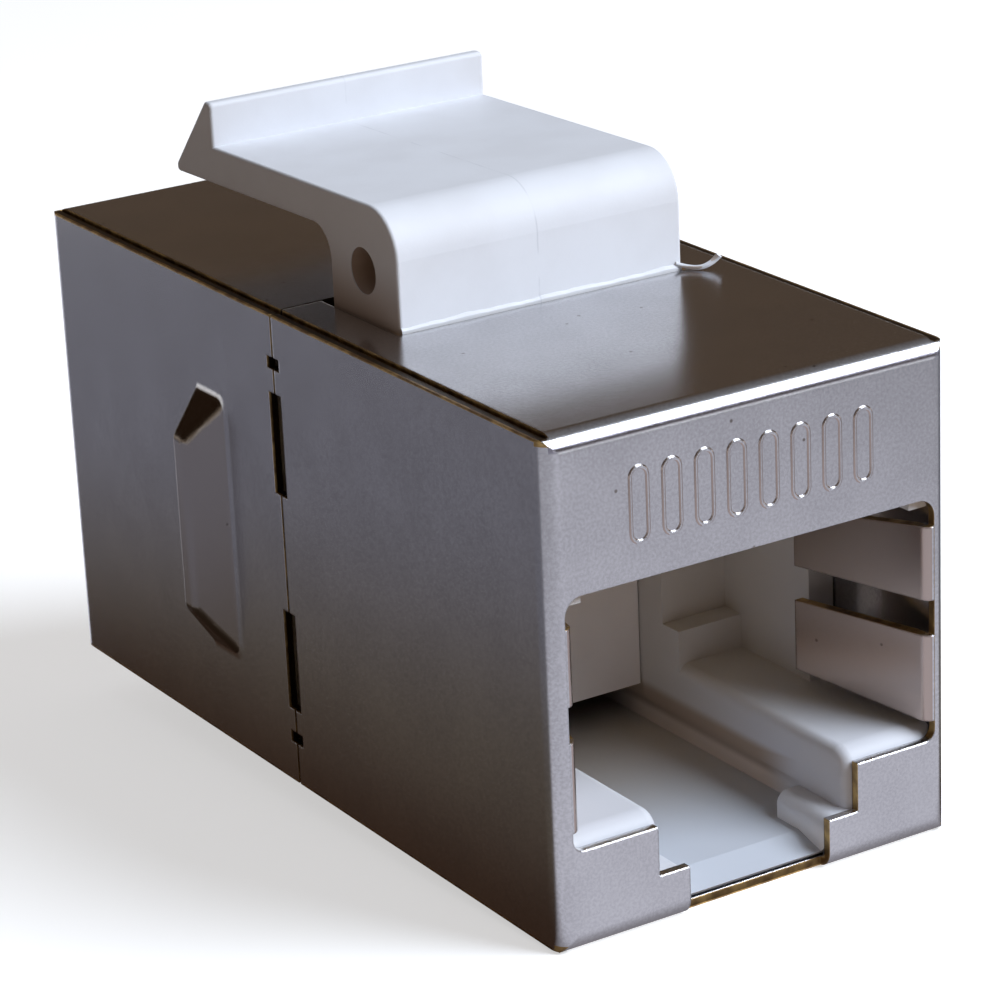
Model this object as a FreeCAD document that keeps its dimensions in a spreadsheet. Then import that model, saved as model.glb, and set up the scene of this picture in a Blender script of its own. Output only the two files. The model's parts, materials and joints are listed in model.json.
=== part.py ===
"""Shielded in-line keystone coupler: two modular plug ports, back to back, in a folded brass can.

Millimetres, +Z up, +X to the right and +Y the way the module goes through its panel. The origin is on the
panel's back face, in the middle of the lower edge of the cut-out.

Each end is drawn in a frame of its own, with y = 0 on its port face and y running into the module. The
front end is placed as drawn and the rear end is turned half round about Z.
"""
import FreeCAD, Part
import math
import os
import Sketcher

DIMENSIONS = [
    ("body_width", 14.5, "across the shells"),
    ("body_height", 16.2, "over the shells, without latch and lug"),
    ("body_length", 31.0, "from port face to port face"),
    ("seam_to_stop", 5.3, "from the seam between the shells to the panel's back face"),
    ("panel_thickness", 1.6, "gap between the louver edges and the catches"),

    ("sheet", 0.3, "thickness of the shell's brass"),
    ("bend_radius", 0.6, "outside of the folds round the port face"),
    ("corner_gap", 0.12, "between a side wall and the edge of the top or bottom"),
    ("corner_step", 0.1, "how far a side wall ends below the top or above the bottom"),
    ("seam_gap", 0.1, "between the two shells"),
    ("slit_depth", 0.33, "relief cut into the shell's edge at the seam"),
    ("slit_near", 2.0, "start of a long slit, from mid-height"),
    ("slit_far", 5.4, "end of a long slit, from mid-height"),
    ("nick_near", 6.2, "start of a short nick, from mid-height"),
    ("nick_far", 6.6, "end of a short nick, from mid-height"),

    ("louver_rise", 1.0, "how far a louver stands out of the wall"),
    ("louver_foot", 1.85, "length of a louver along the module"),
    ("louver_crest", 0.6, "flat part of that length"),
    ("louver_height", 9.0, "of a louver's foot"),
    ("louver_crest_height", 6.0, "of a louver's flat part"),
    ("louver_middle", 7.9, "height of a louver's middle"),
    ("louver_round", 0.6, "rounding of a louver's drawn edges"),
    ("louver_blend", 0.5, "rounding where a louver leaves the wall"),

        ("port_margin", 0.55, "of the port face beside its cut-out"),
    ("port_top", 11.25, "top edge of the cut-out"),
    ("port_corner", 0.6, "rounding of its top corners"),
    ("port_ledge", 3.27, "height of its side ledges"),
    ("port_ledge_corner", 0.4, "rounding of its corners at the side ledges"),
    ("port_step_width", 7.4, "between the side ledges"),
    ("port_step", 1.67, "height of its lower steps"),
    ("port_slot_width", 5.2, "between the lower steps"),
    ("port_cut_depth", 0.5, "of the cut, through the sheet and its bottom fold"),

    ("tab_low_bottom", 3.9, "lower ground tab"),
    ("tab_low_top", 6.75, "lower ground tab"),
    ("tab_high_bottom", 7.9, "upper ground tab"),
    ("tab_high_top", 10.3, "upper ground tab"),
    ("tab_tip_width", 10.2, "between left and right tabs at their tips"),
    ("tab_reach", 5.0, "depth of the tips"),
    ("tab_taper", 0.5, "how much lower a tab is at its root than at its tip"),
    ("tab_bend", 0.05, "inside radius of a tab's fold"),
    ("tab_inset", 0.1, "start of a tab's fold, outside the cut-out's edge"),
    ("tab_set", 0.02, "depth of a tab's fold behind the port face"),

    ("fit", 0.05, "clearance between a moulding and what it sits in"),
    ("housing_bevel", 0.8, "bevel of a housing's long edges"),
    ("cavity_width", 11.9, "where the plug goes"),
    ("cavity_top", 11.25, "where the plug goes"),
    ("cavity_depth", 10.0, "from the port face to the plug stop"),
    ("ledge_top", 3.6, "what the plug slides on"),
    ("ledge_gap", 6.9, "between the side ledges"),
    ("ledge_round", 0.65, "rounding of the ledges' front edge"),
    ("ledge_edge_round", 0.35, "rounding of the ledges' inner edge"),
    ("stop_step_depth", 9.1, "front of the low stop on each ledge"),
    ("stop_step_top", 4.75, "top of the low stop on each ledge"),
    ("wing_width", 7.5, "channel for the plug's clip"),
    ("wing_top", 1.8, "channel for the plug's clip"),
    ("channel_floor", 0.8, "channel for the plug's clip"),
    ("lip_depth", 2.7, "back of the lips that hold the plug's clip"),
    ("lip_round", 0.4, "rounding of the lips"),
    ("lead_in", 1.6, "end of the sloping mouth of the channel floor"),
    ("lead_in_drop", 0.35, "fall of that slope"),
    ("window_depth", 5.4, "side window behind the ground tabs"),
    ("window_top", 10.9, "side window behind the ground tabs"),

    ("contact_pitch", 1.02, "from contact to contact"),
    ("strip_width", 0.45, "of a contact's strip"),
    ("strip_thickness", 0.3, "of a contact's strip"),
    ("low_run", 11.9, "height of the odd contacts' straight run"),
    ("high_run", 12.7, "height of the even contacts' straight run"),
    ("low_bend", 0.4, "radius of the odd contacts' front bend"),
    ("high_bend", 0.8, "radius of the even contacts' front bend"),
    ("tip_bite", 0.2, "how far a contact's tip reaches into its groove"),
    ("tip_height", 8.0, "end of a contact's arm"),
    ("arm_start", -0.3, "depth where arm and straight run of an odd contact would meet"),
    ("tail", 0.4, "how far a contact's tail stands out behind the board"),
    ("strip_fit", 0.01, "clearance round a contact in its hole"),

    ("comb_cheek", 0.75, "of the comb's bar beside the outer contacts"),
    ("comb_bottom", 11.25, "of the comb's bar"),
    ("comb_top", 13.15, "of the comb's bar"),
    ("comb_front", 3.0, "depth where the comb's bar starts"),
    ("comb_wall_depth", 11.3, "front of the comb's back wall"),
    ("comb_wall_bottom", 2.25, "of the comb's back wall"),
    ("comb_shoulder", 6.85, "height where that wall widens for the outer contacts"),
    ("groove_cheek", 0.38, "of that wall beside the outer grooves"),
    ("groove_width", 0.6, "slot for a contact's tip"),
    ("groove_depth", 0.6, "slot for a contact's tip"),
    ("groove_bottom", 7.0, "slot for a contact's tip"),
    ("bay_front", 0.8, "depth where the housing's bay for comb and contacts starts"),

    ("board_thickness", 1.6, "circuit board"),
    ("board_width", 12.8, "circuit board"),
    ("board_bottom", 0.9, "circuit board"),
    ("board_top", 13.2, "circuit board"),
    ("solder_room", 0.6, "recess behind each comb for the soldered tails"),
    ("solder_margin", 0.45, "that recess on each side of the comb"),

    ("latch_width", 10.5, "moulded clip"),
    ("latch_front", -4.55, "front wall of its root, from the seam"),
    ("latch_back", -0.5, "back of its root, from the seam"),
    ("latch_top", 19.97, "top of the arm over the root"),
    ("latch_fall", 0.25, "fall of the arm towards the tab"),
    ("latch_arm", 1.32, "thickness of the arm"),
    ("latch_round", 1.5, "outer rounding over the root"),
    ("latch_inner_round", 1.0, "inner rounding behind the root"),
    ("tab_height", 1.45, "of the catch above the arm"),
    ("tab_crest", 0.4, "flat top of the catch"),
    ("tab_length", 2.6, "of the catch along the arm"),
    ("tab_toe", 0.3, "height of the blunt end of the catch"),
    ("tab_edge", 0.15, "rounding of the catch's edges"),
    ("latch_edge", 0.12, "rounding of the clip's side edges"),
    ("core_height", 17.73, "blind hole in each side of the root"),
    ("core_diameter", 1.5, "blind hole in each side of the root"),
    ("core_depth", 3.5, "blind hole in each side of the root"),
    ("heel_neck", 15.7, "height where the root narrows to its heel"),
    ("heel_bottom", 14.0, "of the heel"),
    ("heel_width", 2.2, "of the heel at its bottom"),
    ("heel_round", 0.8, "of the heel at its bottom"),
    ("trunnion_height", 15.1, "axis of the two round lugs that the latch turns on"),
    ("trunnion_radius", 0.65, "of the lugs"),
    ("trunnion_length", 0.8, "of each lug"),
    ("latch_room", 0.15, "clearance round the latch in shell and housing"),
    ("swing_room", 0.25, "clearance under the heel"),

    ("lug_width", 8.0, "fixed lug under the module"),
    ("lug_drop", 1.3, "fixed lug under the module"),
    ("lug_foot", 1.9, "length of the lug at the housing"),
    ("lug_crest", 1.0, "length of the lug at its end"),
    ("lug_room", 0.1, "clearance round the lug in the shell"),
]

CONTACTS = 8
BEYOND = "1"    # how far a cut runs past the face that it opens
SAME = 1e-4     # places closer than this are one place
X_WAY = FreeCAD.Vector(1, 0, 0)
Y_WAY = FreeCAD.Vector(0, 1, 0)
Z_WAY = FreeCAD.Vector(0, 0, 1)
HALF_TURN = FreeCAD.Rotation(Z_WAY, 180)

doc = FreeCAD.newDocument("keystone_coupler")
dim = doc.addObject("Spreadsheet::Sheet", "dim")
for row, (name, value, meaning) in enumerate(DIMENSIONS, start=1):
    dim.set(f"A{row}", meaning)
    dim.set(f"B{row}", str(value))
    dim.setAlias(f"B{row}", name)
doc.recompute()

# Places that several pieces share, as formulas on the sheet
half_width = "dim.body_width / 2"
reach = "dim.body_length / 2"
mid_height = "dim.body_height / 2"
ledge_edge = "dim.ledge_gap / 2"
cavity_side = "dim.cavity_width / 2"
port_side = "(dim.body_width / 2 - dim.port_margin)"
tab_fold = "(dim.sheet + dim.tab_bend)"
housing_side = "(dim.body_width / 2 - dim.sheet - dim.fit)"
housing_bottom = "(dim.sheet + dim.fit)"
housing_top = "(dim.body_height - dim.sheet - dim.fit)"
housing_back = "(dim.body_length / 2 - dim.board_thickness / 2)"
comb_back = "(dim.body_length / 2 - dim.board_thickness / 2 - dim.solder_room)"
bay_top = "(dim.comb_top + dim.fit)"
outer_contact = f"dim.contact_pitch * {(CONTACTS - 1) / 2}"
comb_side = f"({outer_contact} + dim.strip_width / 2 + dim.comb_cheek)"
head_side = f"({outer_contact} + dim.groove_width / 2 + dim.groove_cheek)"
tip_depth = "(dim.comb_wall_depth + dim.tip_bite)"
latch_middle = "((dim.latch_front + dim.latch_back) / 2)"
catch_face = "(dim.seam_to_stop + dim.panel_thickness)"


def number(formula):
    """The value of a formula on the sheet."""
    return float(dim.evalExpression(formula))


def new_body(label):
    body = doc.addObject("PartDesign::Body", label)
    body.Label = label
    return body


def sketch(body, plane, offset="0"):
    """An empty sketch on one of the body's own planes, moved along that plane's normal."""
    drawing = body.newObject("Sketcher::SketchObject", "sketch")
    for feature in body.Origin.OriginFeatures:
        if feature.Role == plane:
            drawing.AttachmentSupport = (feature, [""])
    drawing.MapMode = "FlatFace"
    drawing.setExpression("AttachmentOffset.Base.z", offset)
    return drawing


def across(body, depth="0"):
    """A sketch across the module (x, z) at a depth behind the port face."""
    return sketch(body, "XZ_Plane", f"-({depth})")


def bind(drawing, kind, first, formula):
    """A dimension of the sketch that follows a formula."""
    index = drawing.addConstraint(Sketcher.Constraint(kind, *first, number(formula)))
    drawing.setExpression(f"Constraints[{index}]", formula)


def pin(drawing, geometry, position, place):
    """Holds a point of the sketch at a place given by two formulas."""
    for kind, axis, formula in (("DistanceX", -2, place[0]), ("DistanceY", -1, place[1])):
        if formula == "0":
            drawing.addConstraint(Sketcher.Constraint("PointOnObject", geometry, position, axis))
        else:
            bind(drawing, kind, (-1, 1, geometry, position), formula)


def rounding(before, corner, after, radius):
    """Where a corner's arc starts and ends, and the arc itself."""
    back = (before - corner).normalize()
    ahead = (after - corner).normalize()
    half_angle = back.getAngle(ahead) / 2
    start = corner + back * (radius / math.tan(half_angle))
    end = corner + ahead * (radius / math.tan(half_angle))
    centre = corner + (back + ahead).normalize() * (radius / math.sin(half_angle))
    ring = Part.Circle(centre, Z_WAY, radius)
    from_angle = math.atan2(start.y - centre.y, start.x - centre.x)
    to_angle = math.atan2(end.y - centre.y, end.x - centre.x)
    leftward = (start - centre).cross(end - centre).z > 0
    if leftward:
        return start, end, Part.ArcOfCircle(ring, from_angle, to_angle), (1, 2)
    return start, end, Part.ArcOfCircle(ring, to_angle, from_angle), (2, 1)


def outline(drawing, corners, closed=True):
    """Straight runs through the corners. A corner with a third formula is rounded to that radius."""
    points = [FreeCAD.Vector(number(corner[0]), number(corner[1]), 0) for corner in corners]
    count = len(points)
    marks = []
    arcs = {}
    entry = list(points)
    leave = list(points)
    for index, corner in enumerate(corners):
        mark = drawing.addGeometry(Part.Point(points[index]), True)
        pin(drawing, mark, 1, corner)
        marks.append(mark)
        if len(corner) == 3:
            around = points[index - 1], points[index], points[(index + 1) % count]
            start, end, arc, ends = rounding(*around, number(corner[2]))
            arcs[index] = drawing.addGeometry(arc), ends
            entry[index] = start
            leave[index] = end
            bind(drawing, "Radius", (arcs[index][0],), corner[2])
    for index in range(count if closed else count - 1):
        following = (index + 1) % count
        line = drawing.addGeometry(Part.LineSegment(leave[index], entry[following]))
        for corner, line_end, arc_end in ((index, 1, 1), (following, 2, 0)):
            if corner in arcs:
                arc, ends = arcs[corner]
                drawing.addConstraint(Sketcher.Constraint("Tangent", line, line_end, arc, ends[arc_end]))
                drawing.addConstraint(Sketcher.Constraint("PointOnObject", marks[corner], 1, line))
            else:
                drawing.addConstraint(Sketcher.Constraint("Coincident", line, line_end, marks[corner], 1))


def rectangle(drawing, left, bottom, right, top):
    outline(drawing, [(left, bottom), (right, bottom), (right, top), (left, top)])


def circle(drawing, place, radius):
    centre = FreeCAD.Vector(number(place[0]), number(place[1]), 0)
    ring = drawing.addGeometry(Part.Circle(centre, Z_WAY, number(radius)))
    pin(drawing, ring, 3, place)
    bind(drawing, "Radius", (ring,), radius)


def extrude(kind, drawing, length, both_ways=False, backwards=False):
    """A Pad or Pocket of a sketch."""
    feature = drawing.getParentGeoFeatureGroup().newObject(f"PartDesign::{kind}", kind.lower())
    feature.Profile = drawing
    feature.setExpression("Length", length)
    feature.Midplane = both_ways
    feature.Reversed = backwards
    return feature


def pad(drawing, length, **direction):
    return extrude("Pad", drawing, length, **direction)


def pocket(drawing, length, **direction):
    return extrude("Pocket", drawing, length, **direction)


def edges_where(feature, wanted):
    """Names of the feature's edges that pass a test."""
    doc.recompute()
    names = []
    for index, edge in enumerate(feature.Shape.Edges, start=1):
        if wanted(edge):
            names.append(f"Edge{index}")
    return names


def dress(kind, feature, edge_names, size_name, formula):
    """A Fillet or Chamfer on edges of a feature."""
    dressed = feature.getParentGeoFeatureGroup().newObject(f"PartDesign::{kind}", kind.lower())
    dressed.Base = (feature, edge_names)
    dressed.setExpression(size_name, formula)
    return dressed


def near(value, formula):
    return abs(value - number(formula)) < SAME


def along(edge, direction):
    """Whether an edge is straight and runs along a direction."""
    return isinstance(edge.Curve, Part.Line) and edge.Curve.Direction.cross(direction).Length < SAME


def place_front(body):
    """Puts a piece drawn from the front port face in the module."""
    body.setExpression("Placement.Base.y", f"-dim.seam_to_stop - {reach}")


def place_rear(body):
    """Puts a piece drawn from its port face at the far end, turned half round."""
    body.Placement = FreeCAD.Placement(FreeCAD.Vector(), HALF_TURN)
    body.setExpression("Placement.Base.y", f"-dim.seam_to_stop + {reach}")


def place_middle(body):
    """Puts a piece drawn from the seam in the module."""
    body.setExpression("Placement.Base.y", "-dim.seam_to_stop")


def shell(label):
    """Half of the folded can: a port face with four walls folded back from it, open at the corners."""
    body = new_body(label)
    block = across(body)
    rectangle(block, f"-{half_width}", "0", half_width, "dim.body_height")
    solid = pad(block, f"{reach} - dim.seam_gap / 2", backwards=True)
    folds = edges_where(solid, lambda edge: near(edge.CenterOfMass.y, "0"))
    folded = dress("Fillet", solid, folds, "Radius", "dim.bend_radius")
    doc.recompute()
    hollow = body.newObject("PartDesign::Thickness", "hollow")
    for index, face in enumerate(folded.Shape.Faces, start=1):
        if near(face.CenterOfMass.y, f"{reach} - dim.seam_gap / 2"):
            hollow.Base = (folded, [f"Face{index}"])
    hollow.setExpression("Value", "dim.sheet")
    hollow.Reversed = True

    corners = across(body, "dim.sheet")
    wall = f"({half_width} - dim.sheet)"
    panel = f"({wall} - dim.corner_gap)"
    outside = f"({half_width} + {BEYOND})"
    top = "dim.body_height"
    levels = (("dim.bend_radius", "dim.corner_step", f"-{BEYOND}"),
              (f"{top} - dim.bend_radius", f"{top} - dim.corner_step", f"{top} + {BEYOND}"))
    for sign in ("", "-"):
        for inner, step, outer in levels:
            outline(corners, [
                (f"{sign}{panel}", inner), (f"{sign}{wall}", inner), (f"{sign}{wall}", step),
                (f"{sign}{outside}", step), (f"{sign}{outside}", outer), (f"{sign}{panel}", outer)])
    pocket(corners, reach)

    port = across(body)
    step = "dim.port_step_width / 2"
    slot = "dim.port_slot_width / 2"
    outline(port, [
        (f"-{slot}", f"-{BEYOND}"), (slot, f"-{BEYOND}"), (slot, "dim.port_step"), (step, "dim.port_step"),
        (step, "dim.port_ledge"), (port_side, "dim.port_ledge", "dim.port_ledge_corner"),
        (port_side, "dim.port_top", "dim.port_corner"), (f"-{port_side}", "dim.port_top", "dim.port_corner"),
        (f"-{port_side}", "dim.port_ledge", "dim.port_ledge_corner"), (f"-{step}", "dim.port_ledge"),
        (f"-{step}", "dim.port_step"), (f"-{slot}", "dim.port_step")])
    pocket(port, "dim.port_cut_depth")

    for sign in ("", "-"):
        ground_tab(body, sign, "dim.tab_low_bottom", "dim.tab_low_top")
        ground_tab(body, sign, "dim.tab_high_bottom", "dim.tab_high_top")
    tapers = sketch(body, "YZ_Plane")
    past = f"dim.tab_reach + {BEYOND}"
    for edge, slope in (("dim.tab_low_bottom", "dim.tab_taper"), ("dim.tab_high_top", "-dim.tab_taper")):
        outline(tapers, [
            (tab_fold, edge), ("dim.tab_reach", f"{edge} + {slope}"), (past, f"{edge} + {slope}"),
            (past, f"{edge} - {slope}"), (tab_fold, f"{edge} - {slope}")])
    pocket(tapers, f"2 * {port_side}", both_ways=True)

    slits = sketch(body, "YZ_Plane")
    slit_start = f"{reach} - dim.seam_gap / 2 - dim.slit_depth"
    for close, far in (("dim.slit_near", "dim.slit_far"), ("dim.nick_near", "dim.nick_far")):
        rectangle(slits, slit_start, f"{mid_height} + {close}", reach, f"{mid_height} + {far}")
        rectangle(slits, slit_start, f"{mid_height} - {far}", reach, f"{mid_height} - {close}")
    pocket(slits, f"dim.body_width + 2 * {BEYOND}", both_ways=True)
    return body


def ground_tab(body, sign, bottom, top):
    """A tongue folded in from the side of the port, leaning towards the plug."""
    plan = sketch(body, "XY_Plane", bottom)
    start = f"({port_side} + dim.tab_inset)"
    root = f"({start} - {tab_fold})"
    tip = "dim.tab_tip_width / 2"
    outline(plan, [
        (f"{sign}{start}", "dim.tab_set"), (f"{sign}{root}", "dim.tab_set", tab_fold),
        (f"{sign}({tip})", "dim.tab_reach"), (f"{sign}({tip} + dim.sheet)", "dim.tab_reach"),
        (f"{sign}({root} + dim.sheet)", "dim.tab_set + dim.sheet", "dim.tab_bend"),
        (f"{sign}{start}", "dim.tab_set + dim.sheet")])
    pad(plan, f"{top} - {bottom}")


def louver(body, sign):
    """A wall's tongue, lanced along one edge and drawn outwards, open towards the panel."""
    drawn = louver_form(body, sign, "Additive", "0")
    wall = f"{sign}({half_width})"
    crest = f"{sign}({half_width} + dim.louver_rise)"
    lanced = number(f"{reach} - dim.seam_to_stop")
    foot = number(f"{reach} - dim.seam_to_stop + dim.louver_foot")

    def is_drawn(edge):
        ends = [vertex.Point for vertex in edge.Vertexes]
        return any(near(point.x, crest) for point in ends) and edge.BoundBox.YMax > lanced + SAME

    def is_foot(edge):
        ends = [vertex.Point for vertex in edge.Vertexes]
        on_wall = all(near(point.x, wall) for point in ends)
        low, high = edge.BoundBox.YMin, edge.BoundBox.YMax
        return on_wall and low > lanced - SAME and lanced + SAME < high < foot + SAME

    rounded = dress("Fillet", drawn, edges_where(drawn, is_drawn), "Radius", "dim.louver_round")
    dress("Fillet", rounded, edges_where(rounded, is_foot), "Radius", "dim.louver_blend")
    louver_form(body, sign, "Subtractive", "dim.sheet")


def louver_form(body, sign, kind, inset):
    """The raised form of a louver, or its inside when inset by the sheet."""
    edge = f"({reach} - dim.seam_to_stop)"
    levels = []
    for height, out, length in (("dim.louver_height", "0", "dim.louver_foot"),
                                ("dim.louver_crest_height", "dim.louver_rise", "dim.louver_crest")):
        level = sketch(body, "YZ_Plane", f"{sign}({half_width} + {out} - {inset})")
        half = f"({height} / 2 - {inset} / 2)"
        rectangle(level, edge, f"dim.louver_middle - {half}", f"{edge} + {length} - {inset} / 2",
                  f"dim.louver_middle + {half}")
        levels.append(level)
    form = body.newObject(f"PartDesign::{kind}Loft", "louver")
    form.Profile = levels[0]
    form.Sections = [levels[1]]
    form.Ruled = True
    return form


def front_shell():
    body = shell("front_shell")
    notch = sketch(body, "XY_Plane", f"dim.body_height + {BEYOND}")
    side = "dim.latch_width / 2 + dim.latch_room"
    rectangle(notch, f"-({side})", f"{reach} + dim.latch_front - dim.latch_room", side, f"{reach}")
    pocket(notch, f"dim.sheet + 2 * {BEYOND}")
    place_front(body)
    return body


def rear_shell():
    body = shell("rear_shell")
    for sign in ("", "-"):
        louver(body, sign)
    slot = sketch(body, "XY_Plane", f"dim.sheet + {BEYOND}")
    side = "dim.lug_width / 2 + dim.lug_room"
    rectangle(slot, f"-({side})", f"{reach} - {catch_face} - dim.lug_foot - dim.lug_room", side, reach)
    pocket(slot, f"dim.sheet + 2 * {BEYOND}")
    place_rear(body)
    return body


def housing(label):
    """A moulded port block: plug cavity, side ledges, clip channel, and a bay for comb and contacts."""
    body = new_body(label)
    block = across(body, "dim.sheet")
    bevel = "dim.housing_bevel"
    low = f"{housing_bottom} + {bevel}"
    high = f"{housing_top} - {bevel}"
    outline(block, [
        (f"-({housing_side} - {bevel})", housing_bottom), (f"{housing_side} - {bevel}", housing_bottom),
        (housing_side, low), (housing_side, high), (f"{housing_side} - {bevel}", housing_top),
        (f"-({housing_side} - {bevel})", housing_top), (f"-{housing_side}", high), (f"-{housing_side}", low)])
    solid = pad(block, f"{housing_back} - dim.sheet", backwards=True)
    front_edges = edges_where(solid, lambda edge: near(edge.CenterOfMass.y, "dim.sheet"))
    dress("Chamfer", solid, front_edges, "Size", "dim.bend_radius - dim.sheet")

    entry_steps = [("dim.port_slot_width / 2", "dim.channel_floor"), (ledge_edge, "dim.port_step"),
                   (cavity_side, "dim.ledge_top")]
    port_cut(body, "0", "dim.lip_depth", entry_steps, "dim.cavity_top")
    main_steps = [("dim.wing_width / 2", "dim.channel_floor"), (ledge_edge, "dim.wing_top"),
                  (cavity_side, "dim.ledge_top")]
    port_cut(body, "dim.lip_depth", "dim.cavity_depth", main_steps, "dim.cavity_top")
    bay = [(f"{comb_side} + dim.fit", "dim.comb_bottom - dim.fit")]
    port_cut(body, "dim.bay_front", f"{housing_back} + {BEYOND}", bay, bay_top)
    rear_steps = [("dim.wing_width / 2", "dim.channel_floor"), (ledge_edge, "dim.wing_top"),
                  (f"{head_side} + dim.fit", "dim.comb_shoulder - dim.fit")]
    port_cut(body, "dim.cavity_depth", f"{housing_back} + {BEYOND}", rear_steps, "dim.comb_bottom")
    recess = [(f"{comb_side} + dim.solder_margin", "dim.comb_bottom - dim.fit")]
    port_cut(body, comb_back, f"{housing_back} + {BEYOND}", recess, bay_top)

    windows = sketch(body, "YZ_Plane")
    rectangle(windows, "0", "dim.ledge_top", "dim.window_depth", "dim.window_top")
    pocket(windows, "dim.body_width", both_ways=True)

    mouth = sketch(body, "YZ_Plane")
    outline(mouth, [("dim.sheet", "dim.channel_floor - dim.lead_in_drop"),
                    ("dim.lead_in", "dim.channel_floor"), ("dim.sheet", "dim.channel_floor")])
    pocket(mouth, "dim.port_slot_width", both_ways=True)

    for sign in ("", "-"):
        step = across(body, "dim.stop_step_depth")
        rectangle(step, f"{sign}({ledge_edge})", "dim.ledge_top",
                  f"{sign}({cavity_side})", "dim.stop_step_top")
        last = pad(step, "dim.cavity_depth - dim.stop_step_depth", backwards=True)
    return round_mouth(last)


def port_cut(body, start, end, steps, top):
    """Cuts a stepped opening, the same left and right, between two depths."""
    drawing = across(body, start)
    right = []
    for index, (side, bottom) in enumerate(steps):
        if index:
            right.append((steps[index - 1][0], bottom))
        right.append((side, bottom))
    right.append((steps[-1][0], top))
    left = [(f"-({side})", height) for side, height in reversed(right)]
    outline(drawing, right + left)
    return pocket(drawing, f"{end} - ({start})")


def round_mouth(feature):
    """Rounds the ledges at the mouth of the port and along their inner edges, and the lips below them."""
    fronts = edges_where(feature, lambda edge: along(edge, X_WAY) and near(edge.CenterOfMass.y, "dim.sheet")
                         and near(edge.CenterOfMass.z, "dim.ledge_top"))
    fronted = dress("Fillet", feature, fronts, "Radius", "dim.ledge_round")
    corners = edges_where(fronted, lambda edge: along(edge, Z_WAY) and near(edge.CenterOfMass.y, "dim.sheet")
                          and near(abs(edge.CenterOfMass.x), ledge_edge))
    rounded = dress("Fillet", fronted, corners, "Radius", "dim.ledge_edge_round")
    lips = edges_where(rounded, lambda edge: along(edge, Y_WAY) and near(edge.CenterOfMass.z, "dim.port_step")
                       and near(abs(edge.CenterOfMass.x), "dim.port_slot_width / 2"))
    return dress("Fillet", rounded, lips, "Radius", "dim.lip_round")


def front_housing():
    """The near port block, with a trough in its top for the latch's heel and a slot for each trunnion."""
    body = housing("front_housing").getParentGeoFeatureGroup()
    trough = sketch(body, "YZ_Plane")
    front = f"{reach} + dim.latch_front - dim.latch_room"
    floor = "dim.heel_bottom - dim.swing_room"
    heel_front = f"{reach} + {latch_middle} - dim.heel_width / 2 - dim.latch_room"
    above = f"dim.body_height + {BEYOND}"
    outline(trough, [(heel_front, floor), (reach, floor), (reach, above), (front, above),
                     (front, "dim.heel_neck")])
    pocket(trough, "dim.latch_width + 2 * dim.latch_room", both_ways=True)
    slots = sketch(body, "YZ_Plane")
    slot_front = f"{reach} + {latch_middle} - dim.trunnion_radius - dim.fit"
    slot_back = f"{reach} + {latch_middle} + dim.trunnion_radius + dim.fit"
    low = "dim.trunnion_height - dim.trunnion_radius - dim.fit"
    bend = "dim.trunnion_radius"
    outline(slots, [(slot_front, low, bend), (slot_back, low, bend), (slot_back, above), (slot_front, above)])
    pocket(slots, "dim.latch_width + 2 * dim.trunnion_length + 2 * dim.latch_room", both_ways=True)
    place_front(body)
    return body


def rear_housing():
    """The far port block, with the fixed lug that hooks under the panel."""
    body = housing("rear_housing").getParentGeoFeatureGroup()
    lug = sketch(body, "YZ_Plane")
    catch = f"({reach} - {catch_face})"
    inside = "dim.channel_floor"
    outline(lug, [(catch, inside), (catch, "-dim.lug_drop"), (f"{catch} - dim.lug_crest", "-dim.lug_drop"),
                  (f"{catch} - dim.lug_foot", "dim.sheet"), (f"{catch} - dim.lug_foot", inside)])
    pad(lug, "dim.lug_width", both_ways=True)
    place_rear(body)
    return body


def contact_place(number_of_contact):
    """Formulas for a contact's place across the port, and for its run and bend."""
    x = f"dim.contact_pitch * {number_of_contact - (CONTACTS + 1) / 2}"
    if number_of_contact % 2:
        return x, "dim.low_run", "dim.low_bend"
    return x, "dim.high_run", "dim.high_bend"


def strip_section(drawing, x, height, room):
    """Draws a contact's section, or a hole that leaves room round it."""
    side = f"(dim.strip_width / 2 + {room})"
    half = f"(dim.strip_thickness / 2 + {room})"
    rectangle(drawing, f"{x} - {side}", f"{height} - {half}", f"{x} + {side}", f"{height} + {half}")


def contact(label, number_of_contact, place):
    """A sprung strip: soldered tail, straight run forward through the comb, bend, and sloping arm back."""
    body = new_body(label)
    x, run, bend = contact_place(number_of_contact)
    slope = f"(dim.low_run - dim.tip_height) / ({tip_depth} - dim.arm_start)"
    corner = f"dim.arm_start - ({run} - dim.low_run) / ({slope})"
    tail_end = f"{reach} + dim.board_thickness / 2 + dim.tail"
    path = sketch(body, "YZ_Plane", x)
    outline(path, [(tail_end, run), (corner, run, bend), (tip_depth, "dim.tip_height")], closed=False)
    section = across(body, tail_end)
    strip_section(section, x, run, "0")
    strip = body.newObject("PartDesign::AdditivePipe", "strip")
    strip.Profile = section
    strip.Spine = path
    place(body)
    return body


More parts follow.
